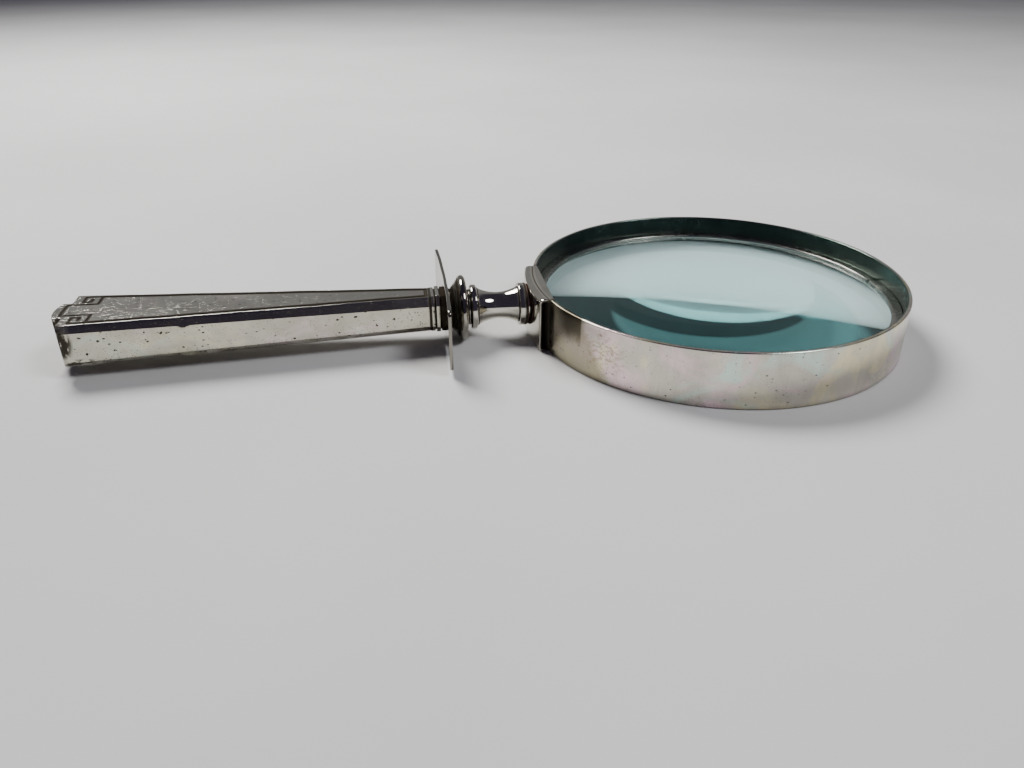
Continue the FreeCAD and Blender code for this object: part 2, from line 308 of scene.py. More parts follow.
def silver(name, tone, rough, cloud, pits, film, scratch=1.0):
    """Silver plate: cloudy sheen, fine scratches, pits, dirt in crevices and painted shade in some
    hollows, coloured tarnish film.
    """
    p = Paint(name)
    clouds = p.noise(p.scaled((1, 1, 1)), 0.055, 5, 0.6, 0.4)
    fine = p.noise(p.scaled((1, 1, 1)), 0.9, 4, 0.6)
    lengthwise = p.noise(p.scaled((0.25, 4.0, 4.0)), 2.2, 2, 0.6)
    across = p.noise(p.scaled((3.5, 3.5, 0.35), (9, 4, 2)), 1.6, 2, 0.6)
    lines = p.math("MULTIPLY", p.fit(lengthwise, 0.62, 0.78), scratch)
    lines = p.math("MAXIMUM", lines, p.math("MULTIPLY", p.fit(across, 0.66, 0.8), 0.6 * scratch))
    colour = p.mix(p.fit(clouds, 0.35, 0.7), tone, tuple(c * 0.86 for c in tone[:3]) + (1,))
    if film:
        for tint, low, shift in [
                ((0.86, 0.66, 0.70, 1), 0.50, (3, 7, 1)), ((0.84, 0.78, 0.52, 1), 0.52, (40, 3, 9)),
                ((0.62, 0.80, 0.72, 1), 0.57, (17, 51, 4))]:
            patch = p.noise(p.scaled((1, 1, 1.3), shift), 0.052, 3, 0.55, 1.2)
            colour = p.mix(p.math("MULTIPLY", p.fit(patch, low, low + 0.16), film), colour, tint)
    wear = p.math("MULTIPLY", p.fit(fine, 0.55, 0.8), 0.25)
    colour = p.mix(wear, colour, tuple(c * 0.7 for c in tone[:3]) + (1,))
    spots = p.cells(p.scaled((0.55, 1, 1)), 0.75)
    spots = p.fit(spots, 0.0, 0.22, 1.0, 0.0)
    where = p.fit(p.noise(p.scaled((1, 1, 1), (5, 2, 8)), 0.16, 3, 0.6), 0.40, 0.60)
    spots = p.math("MULTIPLY", p.math("MULTIPLY", spots, where), pits)
    specks = p.fit(p.cells(p.scaled((1, 1, 1), (2, 9, 5)), 2.1), 0.0, 0.24, 1.0, 0.0)
    where = p.fit(p.noise(p.scaled((1, 1, 1), (1, 6, 3)), 0.3, 2, 0.5), 0.38, 0.60)
    spots = p.math("MAXIMUM", spots, p.math("MULTIPLY", p.math("MULTIPLY", specks, where), pits))
    # Dark from the mesh's attribute: dirt in crevices and grooves, and painted shade in the bar's
    # hollow and on the bolster's front block.
    grime_and_shade = p.math("MULTIPLY", p.grime_and_shade(), p.fit(fine, 0.1, 0.5, 0.75, 1.0))
    marks = p.math("MAXIMUM", spots, grime_and_shade, clamp=True)
    roughness = p.fit(clouds, 0.3, 0.75, rough, rough + cloud)
    roughness = p.math("ADD", roughness, p.math("MULTIPLY", lines, 0.12), clamp=True)
    height = p.math("SUBTRACT", p.math("MULTIPLY", fine, 0.25 * cloud / 0.1), lines)
    height = p.math("SUBTRACT", height, p.math("MULTIPLY", spots, 1.2))
    return p, colour, roughness, height, marks


def plated(p, colour, roughness, height, marks, strength, distance):
    """Finish of a silver surface: dirt, pits and painted shade lie on it as a dull dark crust."""
    crust_and_shade = p.fit(marks, 0.0, 0.5, 0.0, 0.95)
    p.set(Base_Color=p.mix(crust_and_shade, colour, (0.03, 0.024, 0.017, 1)),
          Metallic=p.math("SUBTRACT", 1.0, marks, clamp=True), Specular_IOR_Level=0.0,
          Roughness=roughness,
          Normal=p.bump(height, strength, distance))
    return p.material


def polished_silver():
    p, colour, roughness, height, marks = silver(
        "polished silver", (0.61, 0.585, 0.515, 1), 0.055, 0.05, 0.25, 0.0, scratch=0.5)
    # Painted reflection with tarnish: from the knop back the colour is darker, and past the knop (the
    # guard) darker still, for the dark these faces reflect as well as their tarnish.
    behind = p.beyond(span("neck_bead")[1], 0.1)
    colour = p.mix(p.math("MULTIPLY", behind, 0.62), colour, (0.22, 0.205, 0.175, 1))
    plate = p.math("MULTIPLY", p.beyond(span("neck_knop")[1], 0.1), 0.6)
    colour = p.mix(plate, colour, (0.20, 0.19, 0.165, 1))
    return plated(p, colour, roughness, height, marks, 0.10, 0.02)


def tarnished_silver_hoop():
    p, colour, roughness, height, marks = silver(
        "tarnished silver hoop", (0.71, 0.67, 0.585, 1), 0.17, 0.12, 0.5, 0.95)
    mottle = p.fit(p.noise(p.scaled((1, 1, 0.5), (6, 2, 2)), 0.30, 6, 0.7), 0.35, 0.68)
    colour = p.mix(p.math("MULTIPLY", mottle, 0.22), colour, (0.42, 0.38, 0.32, 1))
    sweep = p.fit(p.noise(p.scaled((1, 1, 0.12), (2, 2, 2)), 0.22, 4, 0.65), 0.42, 0.72)
    colour = p.mix(p.math("MULTIPLY", sweep, 0.35), colour, (0.46, 0.42, 0.36, 1))
    side, tall = p.axis(1), p.axis(2)
    rough_edge = p.noise(p.scaled((1, 1, 0.6), (5, 5, 5)), 0.5, 4, 0.6)
    lean = p.math("ADD", side, p.math("MULTIPLY", p.math("SUBTRACT", 15.0, tall), 0.55))
    lean = p.math("ADD", lean, p.math("MULTIPLY", rough_edge, 2.5))
    near_bar = p.beyond(33, 3)
    olive = p.math("MULTIPLY", p.fit(lean, -26.5, -23.5), near_bar)
    olive = p.math("MULTIPLY", olive, p.fit(side, 0, -8))
    colour = p.mix(p.math("MULTIPLY", olive, 0.8), colour, (0.32, 0.29, 0.20, 1))
    # Painted reflection: a dark brown smudge on the near side, high up beside the bar's end.
    reflection_smudge = p.math("MULTIPLY", p.fit(side, -26.6, -26.0), p.fit(side, -16, -21.5))
    high = p.math("ADD", tall, p.math("MULTIPLY", rough_edge, 3.0))
    reflection_smudge = p.math("MULTIPLY", p.math("MULTIPLY", reflection_smudge, p.fit(high, 8.0, 12.5)), near_bar)
    colour = p.mix(p.math("MULTIPLY", reflection_smudge, 0.85), colour, (0.075, 0.06, 0.04, 1))
    spotty = p.math("MULTIPLY", p.near((LENS_X - 41, -32, 8), (10, 10, 9)),
                    p.fit(p.noise(p.scaled((1, 1, 1.6), (7, 7, 7)), 0.75, 4, 0.65), 0.47, 0.60))
    colour = p.mix(p.math("MULTIPLY", spotty, 0.55), colour, (0.30, 0.22, 0.11, 1))
    # Painted reflection: the hoop's inner wall is dark green for the glass it reflects.
    colour = p.mix(p.disc((LENS_X, 0), BAND_R - 0.85, 0.1), colour, (0.14, 0.19, 0.165, 1))
    return plated(p, colour, roughness, height, marks, 0.12, 0.03)


def worn_silver():
    p, colour, roughness, height, marks = silver(
        "worn silver", (0.575, 0.555, 0.465, 1), 0.12, 0.07, 1.0, 0.35)
    bloom = p.fit(p.noise(p.scaled((0.8, 1, 1), (11, 2, 5)), 0.13, 5, 0.65), 0.40, 0.66)
    colour = p.mix(p.math("MULTIPLY", bloom, 0.35), colour, (0.38, 0.36, 0.29, 1))
    ragged = p.node("ShaderNodeTexNoise", {"Vector": p.place, "Scale": 1.3, "Detail": 3.0}, output=1)
    ragged = p.node("ShaderNodeVectorMath", [ragged, (0.9,) * 3], operation="MULTIPLY")
    ragged = p.node("ShaderNodeVectorMath", [ragged, p.scaled((0.8, 1, 1), (7, 7, 2))], operation="ADD")
    holes = p.fit(p.cells(ragged, 0.36), 0.06, 0.14, 1.0, 0.0)
    marks = p.math("MAXIMUM", marks, holes)
    # Painted reflection: the top faces of the handle and bolster are toned greyer, for the backdrop
    # they reflect.
    top_face_reflection = p.fit(p.axis(2), 13.7, 13.9)
    colour = p.mix(p.math("MULTIPLY", top_face_reflection, 0.6), colour, (0.40, 0.395, 0.375, 1))
    dots = p.fit(p.cells(p.scaled((1, 1, 1), (4, 4, 4)), 1.5), 0.12, 0.3, 1.0, 0.0)
    patchy = p.fit(p.noise(p.scaled((1, 1, 1), (8, 1, 1)), 0.35, 3, 0.6), 0.46, 0.6)
    pitted = p.math("MAXIMUM", p.near((LENS_X - 86, -5.5, 8), (5, 4, 5)),
                    p.math("MULTIPLY", p.fit(p.axis(2), 7.2, 4.6), 0.6))
    pitted = p.math("MULTIPLY", p.math("MULTIPLY", dots, patchy), pitted)
    scuff = p.fit(p.noise(p.scaled((0.35, 1, 1.2), (3, 3, 3)), 0.9, 5, 0.7), 0.46, 0.60)
    corner = p.math("MAXIMUM", p.near((LENS_X - 170, -11.5, 4.2), (6, 3, 2.2)),
                    p.near((LENS_X - 175.5, -9.5, 11.5), (5, 5, 6)))
    corner = p.math("MAXIMUM", corner, p.near((LENS_X - 175.5, 9.5, 11.5), (4, 5, 5)))
    marks = p.math("MAXIMUM", marks, p.math("MAXIMUM", pitted, p.math("MULTIPLY", scuff, corner)))
    end_wall = p.math("MULTIPLY", p.beyond(174.4, 0.2), p.fit(p.axis(2), 14.6, 14.2))
    smear = p.math("MAXIMUM", end_wall, p.near((LENS_X - 174.5, -11.5, 10.5), (4.5, 3, 6)))
    blotches = p.noise(p.scaled((1.6, 1, 0.5), (2, 8, 8)), 0.7, 4, 0.6)
    smear = p.math("MULTIPLY", smear, p.fit(blotches, 0.30, 0.55))
    marks = p.math("MAXIMUM", marks, p.math("MULTIPLY", smear, 0.9))
    # Front block of the bolster: a dark brown streaky tone for dirt, and painted shade for the guard's
    # shaded face it reflects.
    streaks = p.noise(p.scaled((0.2, 2.5, 2.5), (6, 6, 6)), 0.8, 3, 0.6)
    block = p.math("MULTIPLY", p.math("SUBTRACT", 1.0, p.beyond(78.5, 0.05)),
                   p.fit(streaks, 0.3, 0.6, 0.55, 1.0))
    colour = p.mix(block, colour, (0.10, 0.075, 0.045, 1))
    return plated(p, colour, roughness, height, marks, 0.25, 0.05)


def silver_ring():
    p, colour, roughness, height, marks = silver(
        "ring silver", (0.52, 0.50, 0.46, 1), 0.2, 0.12, 0.3, 0.0)
    return plated(p, colour, roughness, height, marks, 0.12, 0.03)


def lens_glass():
    """Glass that soaks up red.

    Light caught between its faces would take many turns to come out, so a share of it goes
    straight through; the share is larger in the crescent where the caught light shows.
    """
    p = Paint("lens glass")
    smear = p.fit(p.noise(p.scaled((1, 1, 1)), 0.05, 4, 0.6, 0.8), 0.5, 0.8, 0.0, 0.03)
    p.set(Base_Color=(1, 1, 1, 1), Roughness=smear, IOR=1.52, Transmission_Weight=1.0)
    bright = p.disc((LENS_X, -15), 32, 1.0)
    dark = p.disc((LENS_X - 2, 3), 31, 0.8)
    share = p.math("MULTIPLY", bright, p.math("SUBTRACT", 1.0, dark))
    share = p.math("ADD", 0.012, p.math("MULTIPLY", share, 0.13))
    caught = p.tree.nodes.new("ShaderNodeBsdfTransparent")
    caught.inputs["Color"].default_value = (0.45, 0.84, 0.87, 1)
    blend = p.node("ShaderNodeMixShader", [share, p.shader.outputs[0], caught.outputs[0]])
    lit = p.tree.nodes.new("ShaderNodeBsdfTransparent")
    lit.inputs["Color"].default_value = (0.50, 0.61, 0.61, 1)
    shadow = p.node("ShaderNodeLightPath", output=1)
    blend = p.node("ShaderNodeMixShader", [shadow, blend, lit.outputs[0]])
    p.tree.links.new(blend, p.out.inputs["Surface"])
    soak = p.tree.nodes.new("ShaderNodeVolumeAbsorption")
    soak.inputs["Color"].default_value = (0.30, 0.90, 0.91, 1)
    soak.inputs["Density"].default_value = 16.0
    p.tree.links.new(soak.outputs[0], p.out.inputs["Volume"])
    return p.material


def plain(name, first, second, scale, metallic, rough, rougher, relief=0.1):
    """Two-toned mottled finish for the small inner pieces."""
    p = Paint(name)
    patch = p.noise(p.scaled((1, 1, 1)), scale, 4, 0.6)
    p.set(Base_Color=p.mix(p.fit(patch, 0.35, 0.65), first, second), Metallic=metallic,
          Roughness=p.fit(patch, 0.3, 0.7, rough, rougher), Normal=p.bump(patch, relief, 0.05))
    return p.material


looks = {
    "tarnished_silver_hoop": tarnished_silver_hoop(),
    "lens_glass": lens_glass(),
    "silver_ring": silver_ring(),
    "polished_silver": polished_silver(),
    "worn_silver": worn_silver(),
    "brass_nut": plain(
        "dark brass", (0.20, 0.14, 0.06, 1), (0.08, 0.06, 0.035, 1), 1.2, 1.0, 0.4, 0.6),
    "red_fibre": plain(
        "red fibre", (0.13, 0.055, 0.04, 1), (0.08, 0.035, 0.025, 1), 1.5, 0.0, 0.6, 0.8),
    "steel_rod": plain(
        "turned steel", (0.50, 0.49, 0.47, 1), (0.32, 0.31, 0.30, 1), 0.8, 1.0, 0.3, 0.45),
    "pitch": plain(
        "pitch", (0.05, 0.03, 0.02, 1), (0.09, 0.055, 0.035, 1), 0.4, 0.0, 0.4, 0.6),
}
for name, node in frame["nodes"].items():
    node.data.materials.clear()
    node.data.materials.append(looks[slot_of[name]])


# ------------------------------------------------------------------ hoop and lens

def waves(angle, z, amount):
    """Slow unevenness of a hand-worked surface."""
    return amount * (np.sin(3 * angle + 0.7) * 0.5 + np.sin(7 * angle + 0.11 * z + 2.1) * 0.3
                     + np.sin(13 * angle - 0.23 * z + 0.4) * 0.2)


def bezel_band():
    inner, outer = BAND_R - WALL, BAND_R
    path = densify(rounded_box(inner, outer, 0, BAND_TOP, (0.25, 0.35, 0.3, 0.25), 5), 1.4)
    radius, z = path[:, 0], path[:, 1]
    steps = 384
    start = np.arcsin(BAR_HALF / radius)
    share = np.linspace(0, 1, steps)[:, None]
    angle = start + share * (TURN - 2 * start)
    fade = np.clip(np.minimum(share, 1 - share) * 40, 0, 1)
    reach = radius + waves(angle, z, 0.07) * fade
    rings = np.empty((steps, len(path), 3))
    rings[:, :, 0] = LENS_X - reach * np.cos(angle)
    rings[:, :, 1] = -reach * np.sin(angle)
    rings[:, :, 2] = z
    rings[0, :, 1], rings[-1, :, 1] = -BAR_HALF, BAR_HALF
    points, faces = skin(rings, wrap=False, cap=True)
    near_bar = np.exp(-((np.abs(points[:, 1]) - BAR_HALF) / 0.5) ** 2) * (points[:, 0] < LENS_X)
    foot = np.exp(-(points[:, 2] / 0.5) ** 2) * 0.35
    return piece("hoop_band", "bezel_band", points, faces, np.maximum(near_bar, foot))


def round_lens():
    radius, rise, edge, bevel = half_width("lens"), 3.9, 2.5, 0.3
    sphere = (radius ** 2 + rise ** 2) / (2 * rise)
    out = np.sin(np.linspace(0, 1, 56) * math.pi / 2) * (radius - bevel)
    bulge = edge / 2 + rise - (sphere - np.sqrt(sphere ** 2 - out ** 2))
    soft = 0.12
    side = np.array([(radius - soft, edge / 2), (radius, edge / 2 - soft), (radius, 0.0)])
    upper = np.vstack([np.stack([out, bulge], 1), side])
    lower = upper[:-1][::-1] * (1, -1)
    path = np.vstack([upper, lower])
    steps = 256
    angle = np.arange(steps) / steps * TURN
    rings = np.empty((len(path), steps, 3))
    rings[:, :, 0] = LENS_X - path[:, :1] * np.cos(angle)
    rings[:, :, 1] = path[:, :1] * np.sin(angle)
    rings[:, :, 2] = MID_Z + path[:, 1:]
    points, faces = skin(rings, wrap=False)
    return piece("lens_glass_disc", "lens", points, faces, angle=30)


def spring_ring(name, node, split):
    """Flat ring, cut straight where the bar crosses; the upper one is split like a spring."""
    low, high = corners_of(node)
    inner, outer = 47.9, half_width(node)
    chord = LENS_X - low[0]
    path = rounded_box(inner, outer, low[2], high[2], (0.2, 0.1, 0.1, 0.25), 4)
    radius, z = path[:, 0], path[:, 1]
    steps = 360
    gap = split / outer / 2
    if split:
        angle = np.linspace(gap, TURN - gap, steps)[:, None]
    else:
        angle = (np.arange(steps) / steps * TURN)[:, None]
    trimmed = np.minimum(radius, chord / np.maximum(-np.cos(angle), 1e-6))
    trimmed = np.where(np.cos(angle) < 0, trimmed, radius)
    rings = np.empty((steps, len(path), 3))
    rings[:, :, 0] = LENS_X + trimmed * np.cos(angle)
    rings[:, :, 1] = trimmed * np.sin(angle)
    rings[:, :, 2] = z
    points, faces = skin(rings, wrap=not split, cap=bool(split))
    return piece(name, node, points, faces)


# ------------------------------------------------------------------ bar, pad and neck

def mount_bar():
    """Hollow bar, flat towards the lens and bowed round the hoop outside."""
    front, bow = span("mount_bar")
    wall, lip = 0.5, 0.7
    slot_low, slot_high = np.array([BAND_R, lip]), np.array([bow - wall, BAND_TOP - lip])
    outer = densify(soften([
        (front, 0, 0.2), (bow, 0, 1.2), (bow, BAND_TOP, 1.2), (BAND_R + 0.12, BAND_TOP, 0.05),
        (BAND_R, BAND_TOP - 0.15, 0.04), (BAND_R - 0.12, BAND_TOP, 0.05), (front, BAND_TOP, 0.2),
    ], 7), 1.0)
    corner = 0.75
    core = np.clip(outer, slot_low + corner, slot_high - corner)
    out = outer - core
    inner = core + out / np.linalg.norm(out, axis=1)[:, None] * corner
    middle = outer.mean(axis=0)
    end = [(0.12, 0), (0.04, 0.04), (0, 0.12)]
    loops = [(outer, depth - BAR_HALF, shrink, 0) for shrink, depth in end]
    loops += [(outer, y, 0, 0) for y in np.linspace(-BAR_HALF + 0.8, BAR_HALF - 0.8, 33)]
    loops += [(outer, BAR_HALF - depth, shrink, 0) for shrink, depth in end[::-1]]
    loops += [(inner, BAR_HALF - 0.05, 0, 1)]
    loops += [(inner, y, 0, 1) for y in np.linspace(BAR_HALF - 1, 1 - BAR_HALF, 25)]
    loops += [(inner, 0.05 - BAR_HALF, 0, 1)]
    rings, dirt = [], []
    for path, y, shrink, inside in loops:
        moved = path - (path - middle) / np.linalg.norm(path - middle, axis=1)[:, None] * shrink
        sag = bow - math.sqrt(bow ** 2 - y ** 2)
        station = moved[:, 0] - sag * np.clip((moved[:, 0] - front - 0.2) / 2.4, 0, 1)
        rings.append(np.stack([LENS_X - station, np.full(len(moved), y), moved[:, 1]], 1))
        # Dirt along the top joint. The inside of the hollow gets the full dark crust, painted shade
        # standing in for the shadow in the channel.
        joint = np.exp(-((path[:, 0] - BAND_R) / 0.13) ** 2) * (path[:, 1] > BAND_TOP - 0.3)
        dirt.append(np.full(len(moved), 1.0) if inside else joint)
    points, faces = skin(np.array(rings))
    return piece("hollow_bar", "mount_bar", points, faces, np.concatenate(dirt))


def lathe(name, node, corners, steps=5):
    profile = densify(soften(corners, steps), 1.5)
    points, faces = turned(profile)
    return piece(name, node, points, faces, neck_grime(points))


def arc3(a, via, b, steps=24):
    """Points of the circle arc from a to b by way of via."""
    (ax, ay), (vx, vy), (bx, by) = a, via, b
    d = 2 * (ax * (vy - by) + vx * (by - ay) + bx * (ay - vy))
    ux = ((ax ** 2 + ay ** 2) * (vy - by) + (vx ** 2 + vy ** 2) * (by - ay)
          + (bx ** 2 + by ** 2) * (ay - vy)) / d
    uy = ((ax ** 2 + ay ** 2) * (bx - vx) + (vx ** 2 + vy ** 2) * (ax - bx)
          + (bx ** 2 + by ** 2) * (vx - ax)) / d
    angles = np.unwrap([math.atan2(y - uy, x - ux) for x, y in (a, via, b)])
    r = math.hypot(ax - ux, ay - uy)
    return [(ux + r * math.cos(t), uy + r * math.sin(t))
            for t in np.linspace(angles[0], angles[2], steps)]


def bar_pad():
    """Low pad, flat towards the neck and hollowed to sit on the bow."""
    start, end = span("neck_boss")
    bow = span("mount_bar")[1]
    radius = 4.6
    points, faces = turned(densify(soften([
        (start, BORE), (start, radius), (end, radius, 0.08), (end, BORE)]), 0.6))
    seat = LENS_X - np.sqrt(bow ** 2 - points[:, 1] ** 2)
    points[:, 0] = np.where(points[:, 0] > LENS_X - start - 0.01, seat, points[:, 0])
    return piece("bar_pad", "neck_boss", points, faces)


def drum(name, node, radius, front_edge, back_edge, gap=0.0, steps=5):
    """Plain disc with rounded edges, and a small gap to the piece in front of it."""
    start, end = span(node)
    return lathe(name, node, [
        (start + gap, BORE), (start + gap, radius, front_edge), (end, radius, back_edge), (end, BORE)],
        steps)


def waisted_stem():
    start, end = span("neck_stem")
    front, waist, back = 5.0, 3.7, 5.3
    curve = arc3((start + 0.35, front - 0.05), ((start + end) / 2, waist), (end - 0.25, back), 40)
    return lathe("waisted_stem", "neck_stem", [
        (start, BORE), (start, front), *curve, (end, back), (end, BORE)])


def small_bead():
    start, end = span("neck_bead")
    foot, crown = 4.4, 4.93
    curve = arc3((start + 0.02, foot), ((start + end) / 2, crown), (end - 0.02, foot), 14)
    return lathe("small_bead", "neck_bead", [
        (start, BORE), (start, foot), *curve, (end, foot), (end, BORE)])


def moulded_knop():
    """Two fillets in front, the big round, then a slope to the hub."""
    start, end = span("neck_knop")
    crown, hub = 8.95, 5.4
    big_round = arc3((start + 0.25, 8.0), (start + 1.4, crown), (start + 2.3, 8.4), 20)
    return lathe("moulded_knop", "neck_knop", [
        (start, BORE), (start, 5.2, 0.1), (start + 0.25, 6.1, 0.1), (start + 0.15, 7.3, 0.3),
        *big_round, (start + 2.4, 7.9, 0.15), (start + 4.2, 5.7, 0.15), (start + 4.3, hub, 0.12),
        (end, hub, 0.05), (end, BORE)])


def guard_plate():
    """Bowed plate with a rounded edge all round, thickest at the middle."""
    low, high = corners_of("guard_plate")
    half, tall = high[1], (high[2] - low[2]) / 2
    centre_z = (high[2] + low[2]) / 2
    face = span("neck_knop")[1]
    thick, sweep = 0.9, 0.6
    bend = (half ** 2 + sweep ** 2) / (2 * sweep)
    outline = densify(rounded_box(-half, half, -tall, tall, (1.5,) * 4, 8), 0.9)
    centre_angle = np.arctan2(outline[:, 1], outline[:, 0])
    hole = np.stack([np.cos(centre_angle), np.sin(centre_angle)], 1) * (BORE + 0.05)
    hole[:, 1] += AXIS_Z - centre_z
    inward = -outline / np.linalg.norm(outline, axis=1)[:, None]
    loops = []
    shares = np.linspace(0, 1, 28)
    edge = [(0.30, 0.0), (0.19, 0.03), (0.08, 0.12), (0.02, 0.26), (0.0, 0.45),
            (0.02, 0.64), (0.08, 0.78), (0.19, 0.87), (0.30, 0.9)]
    for share in shares[:-1]:
        loops.append((hole + (outline + inward * 0.45 - hole) * share, 0.0))
    loops += [(outline + inward * inset, depth) for inset, depth in edge]
    for share in shares[:-1][::-1]:
        loops.append((hole + (outline + inward * 0.45 - hole) * share, thick))
    rings = []
    for path, depth in loops:
        station = face + depth + bend - np.sqrt(bend ** 2 - path[:, 0] ** 2)
        station = station + 0.03 * np.sin(path[:, 0] * 0.5 + 0.8) * np.cos(path[:, 1] * 0.4)
        rings.append(np.stack([LENS_X - station, path[:, 0], centre_z + path[:, 1]], 1))
    points, faces = skin(np.array(rings))
    hub = np.hypot(points[:, 1], points[:, 2] - AXIS_Z)
    return piece("swept_guard", "guard_plate", points, faces, np.exp(-((hub - 5.9) / 0.5) ** 2))


def octagon(width, depth, bevel, radius, steps=5):
    w, d = width / 2, depth / 2
    corners = [(w, -d + bevel), (w, d - bevel), (w - bevel, d), (-w + bevel, d),
               (-w, d - bevel), (-w, -d + bevel), (-w + bevel, -d), (w - bevel, -d)]
    return soften([(a, b, radius) for a, b in corners], steps)


def bolster():
    """Eight-sided ferrule with two bands."""
    front, back = span("handle_bolster")
    steps = [(front, 0.15), (78.5, 0.15), (78.5, 0.65), (78.8, 0.65), (78.8, 0.0), (79.9, 0.0),
             (79.9, 0.65), (80.2, 0.65), (80.2, 0.25), (back, 0.25)]
    line = soften([(s, inset, 0.16) for s, inset in steps], 4, closed=False)
    line = densify(line, 0.6, closed=False)
    rings = []
    for s, inset in line:
        path = octagon(11.3 - 2 * inset, 10.7 - 2 * inset, 2.15 - 0.5 * inset, 0.55)
        rings.append(np.stack([np.full(len(path), LENS_X - s), path[:, 0], AXIS_Z + path[:, 1]], 1))
    angle = np.arctan2(rings[0][:, 2] - AXIS_Z, rings[0][:, 1])
    for s in (back, front):
        rings.append(np.stack([np.full(len(angle), LENS_X - s), BORE * np.cos(angle),
                               AXIS_Z + BORE * np.sin(angle)], 1))
    points, faces = skin(np.array(rings))
    station = LENS_X - points[:, 0]
    grime_and_shade = np.zeros(len(points))
    for at in (77.55, 78.65, 80.05, 81.38):
        grime_and_shade = np.maximum(grime_and_shade, np.exp(-((station - at) / 0.22) ** 2))
    # Front block, ahead of the first band: dirt, and painted shade for the guard's shaded face it
    # reflects.
    grime_and_shade = np.maximum(grime_and_shade, 0.8 * (station < 78.5))
    return piece("stepped_bolster", "handle_bolster", points, faces, grime_and_shade)


# ------------------------------------------------------------------ handle shells

FRONT, BACK = 81.4, 174.5
FRONT_SIZES, BACK_SIZES = (5.3, 4.95, 2.0), (11.5, 5.7, 1.6)  # half width, half depth, bevel
CREST_HALF, SHOULDER, TIP = 4.8, 176.8, 177.8
SHELL, CORNER = 0.8, 1.4       # wall, and the butt's rounded corners
SOLID_FROM = 173.5             # the hollow ends here
BUTT_EDGE = 0.2                # rounding of the butt's edge
DENT = 144.4
DENT_ROWS = 141, 148           # stations between which the rows are close, for the dent
KEY_FROM = 165.9               # the same for the key, as far as the butt
GROOVE_DEPTH, GROOVE_WIDTH = 0.3, 0.55
BORDER, CREST_LINE = 1.0, 175.3  # the lines' distance from the edge, and the one on the crest
KEY_LENGTH, KEY_WIDTH, KEY_STEP, KEY_HOOK = 6.8, 5.0, 1.6, 2.2
DIRT_WIDTH, DIRT_CORE = 1.1, 0.65
LONG_LINE = 0.6  # the lines along the edges are wider by one over this


def handle_sizes(s):
    """Half width, half depth and bevel of the handle's section at stations."""
    t = (s - FRONT) / (BACK - FRONT)
    return tuple(front + t * (back - front) for front, back in zip(FRONT_SIZES, BACK_SIZES))


def face_half(s):
    w, _, b = handle_sizes(s)
    return w - b


def key_lines():
    """Engraved lines of a broad face as runs between (station, y) points."""
    back, front = BACK - BORDER, BACK - KEY_LENGTH
    outer = face_half(front) - BORDER
    inner, step, hook = outer - KEY_WIDTH, KEY_STEP, front + KEY_HOOK
    start, edge = FRONT + BORDER, face_half(FRONT) - BORDER
    key = [(CREST_LINE, inner), (front, inner), (front, outer), (back - step, outer),
           (back - step, inner + step), (hook, inner + step), (hook, outer - step)]
    runs = [[(start, -edge), (start, edge)], [(CREST_LINE, -inner), (CREST_LINE, inner)]]
    for side in (-1, 1):
        runs.append([(s, side * y) for s, y in key])
        runs.append([(front, side * outer), (start, side * edge)])
    return [(a, b) for run in runs for a, b in zip(run, run[1:])]


def groove(s, y, width=GROOVE_WIDTH, core=0.45):
    """Share of the groove's depth at points of a broad face, or of the dirt along it."""
    nearest = np.full(s.shape, 9.0)
    for (sa, ya), (sb, yb) in key_lines():
        along, over = sb - sa, yb - ya
        t = np.clip(((s - sa) * along + (y - ya) * over) / (along ** 2 + over ** 2), 0, 1)
        away = np.hypot(s - sa - t * along, y - ya - t * over)
        nearest = np.minimum(nearest, away * (LONG_LINE if abs(along) > 50 else 1))
    t = np.clip((nearest / (width / 2) - core) / (1.05 - core), 0, 1)
    return 1 - t * t * (3 - 2 * t)


def handle_rows(dented):
    """Stations of the mesh's rows, close together where there is detail."""
    rows = list(np.arange(FRONT, FRONT + 2.2, 0.14)) + list(np.arange(84.0, KEY_FROM - 0.4, 1.0))
    if dented:
        first, last = DENT_ROWS
        rows = [s for s in rows if not first < s < last] + list(np.arange(first, last, 0.25))
    rows += list(np.arange(KEY_FROM, BACK - CORNER - 0.01, 0.13)) + [SOLID_FROM]
    rows += [BACK - CORNER + CORNER * math.sin(t) for t in np.linspace(0, 1, 11)[:-1] * math.pi / 2]
    rows += [BACK - BUTT_EDGE * (1 - math.sin(t)) for t in np.linspace(0, 1, 6) * math.pi / 2]
    return np.array(sorted(set(round(float(s), 4) for s in rows)))


# Distances from the top face's edge at which the columns lie, as far as the face's middle
MIDDLE = face_half(BACK - 7.6)
INSET = np.concatenate([
    [0.3, 0.5], np.arange(0.62, 6.95, 0.125), np.linspace(7.2, MIDDLE, 6)])


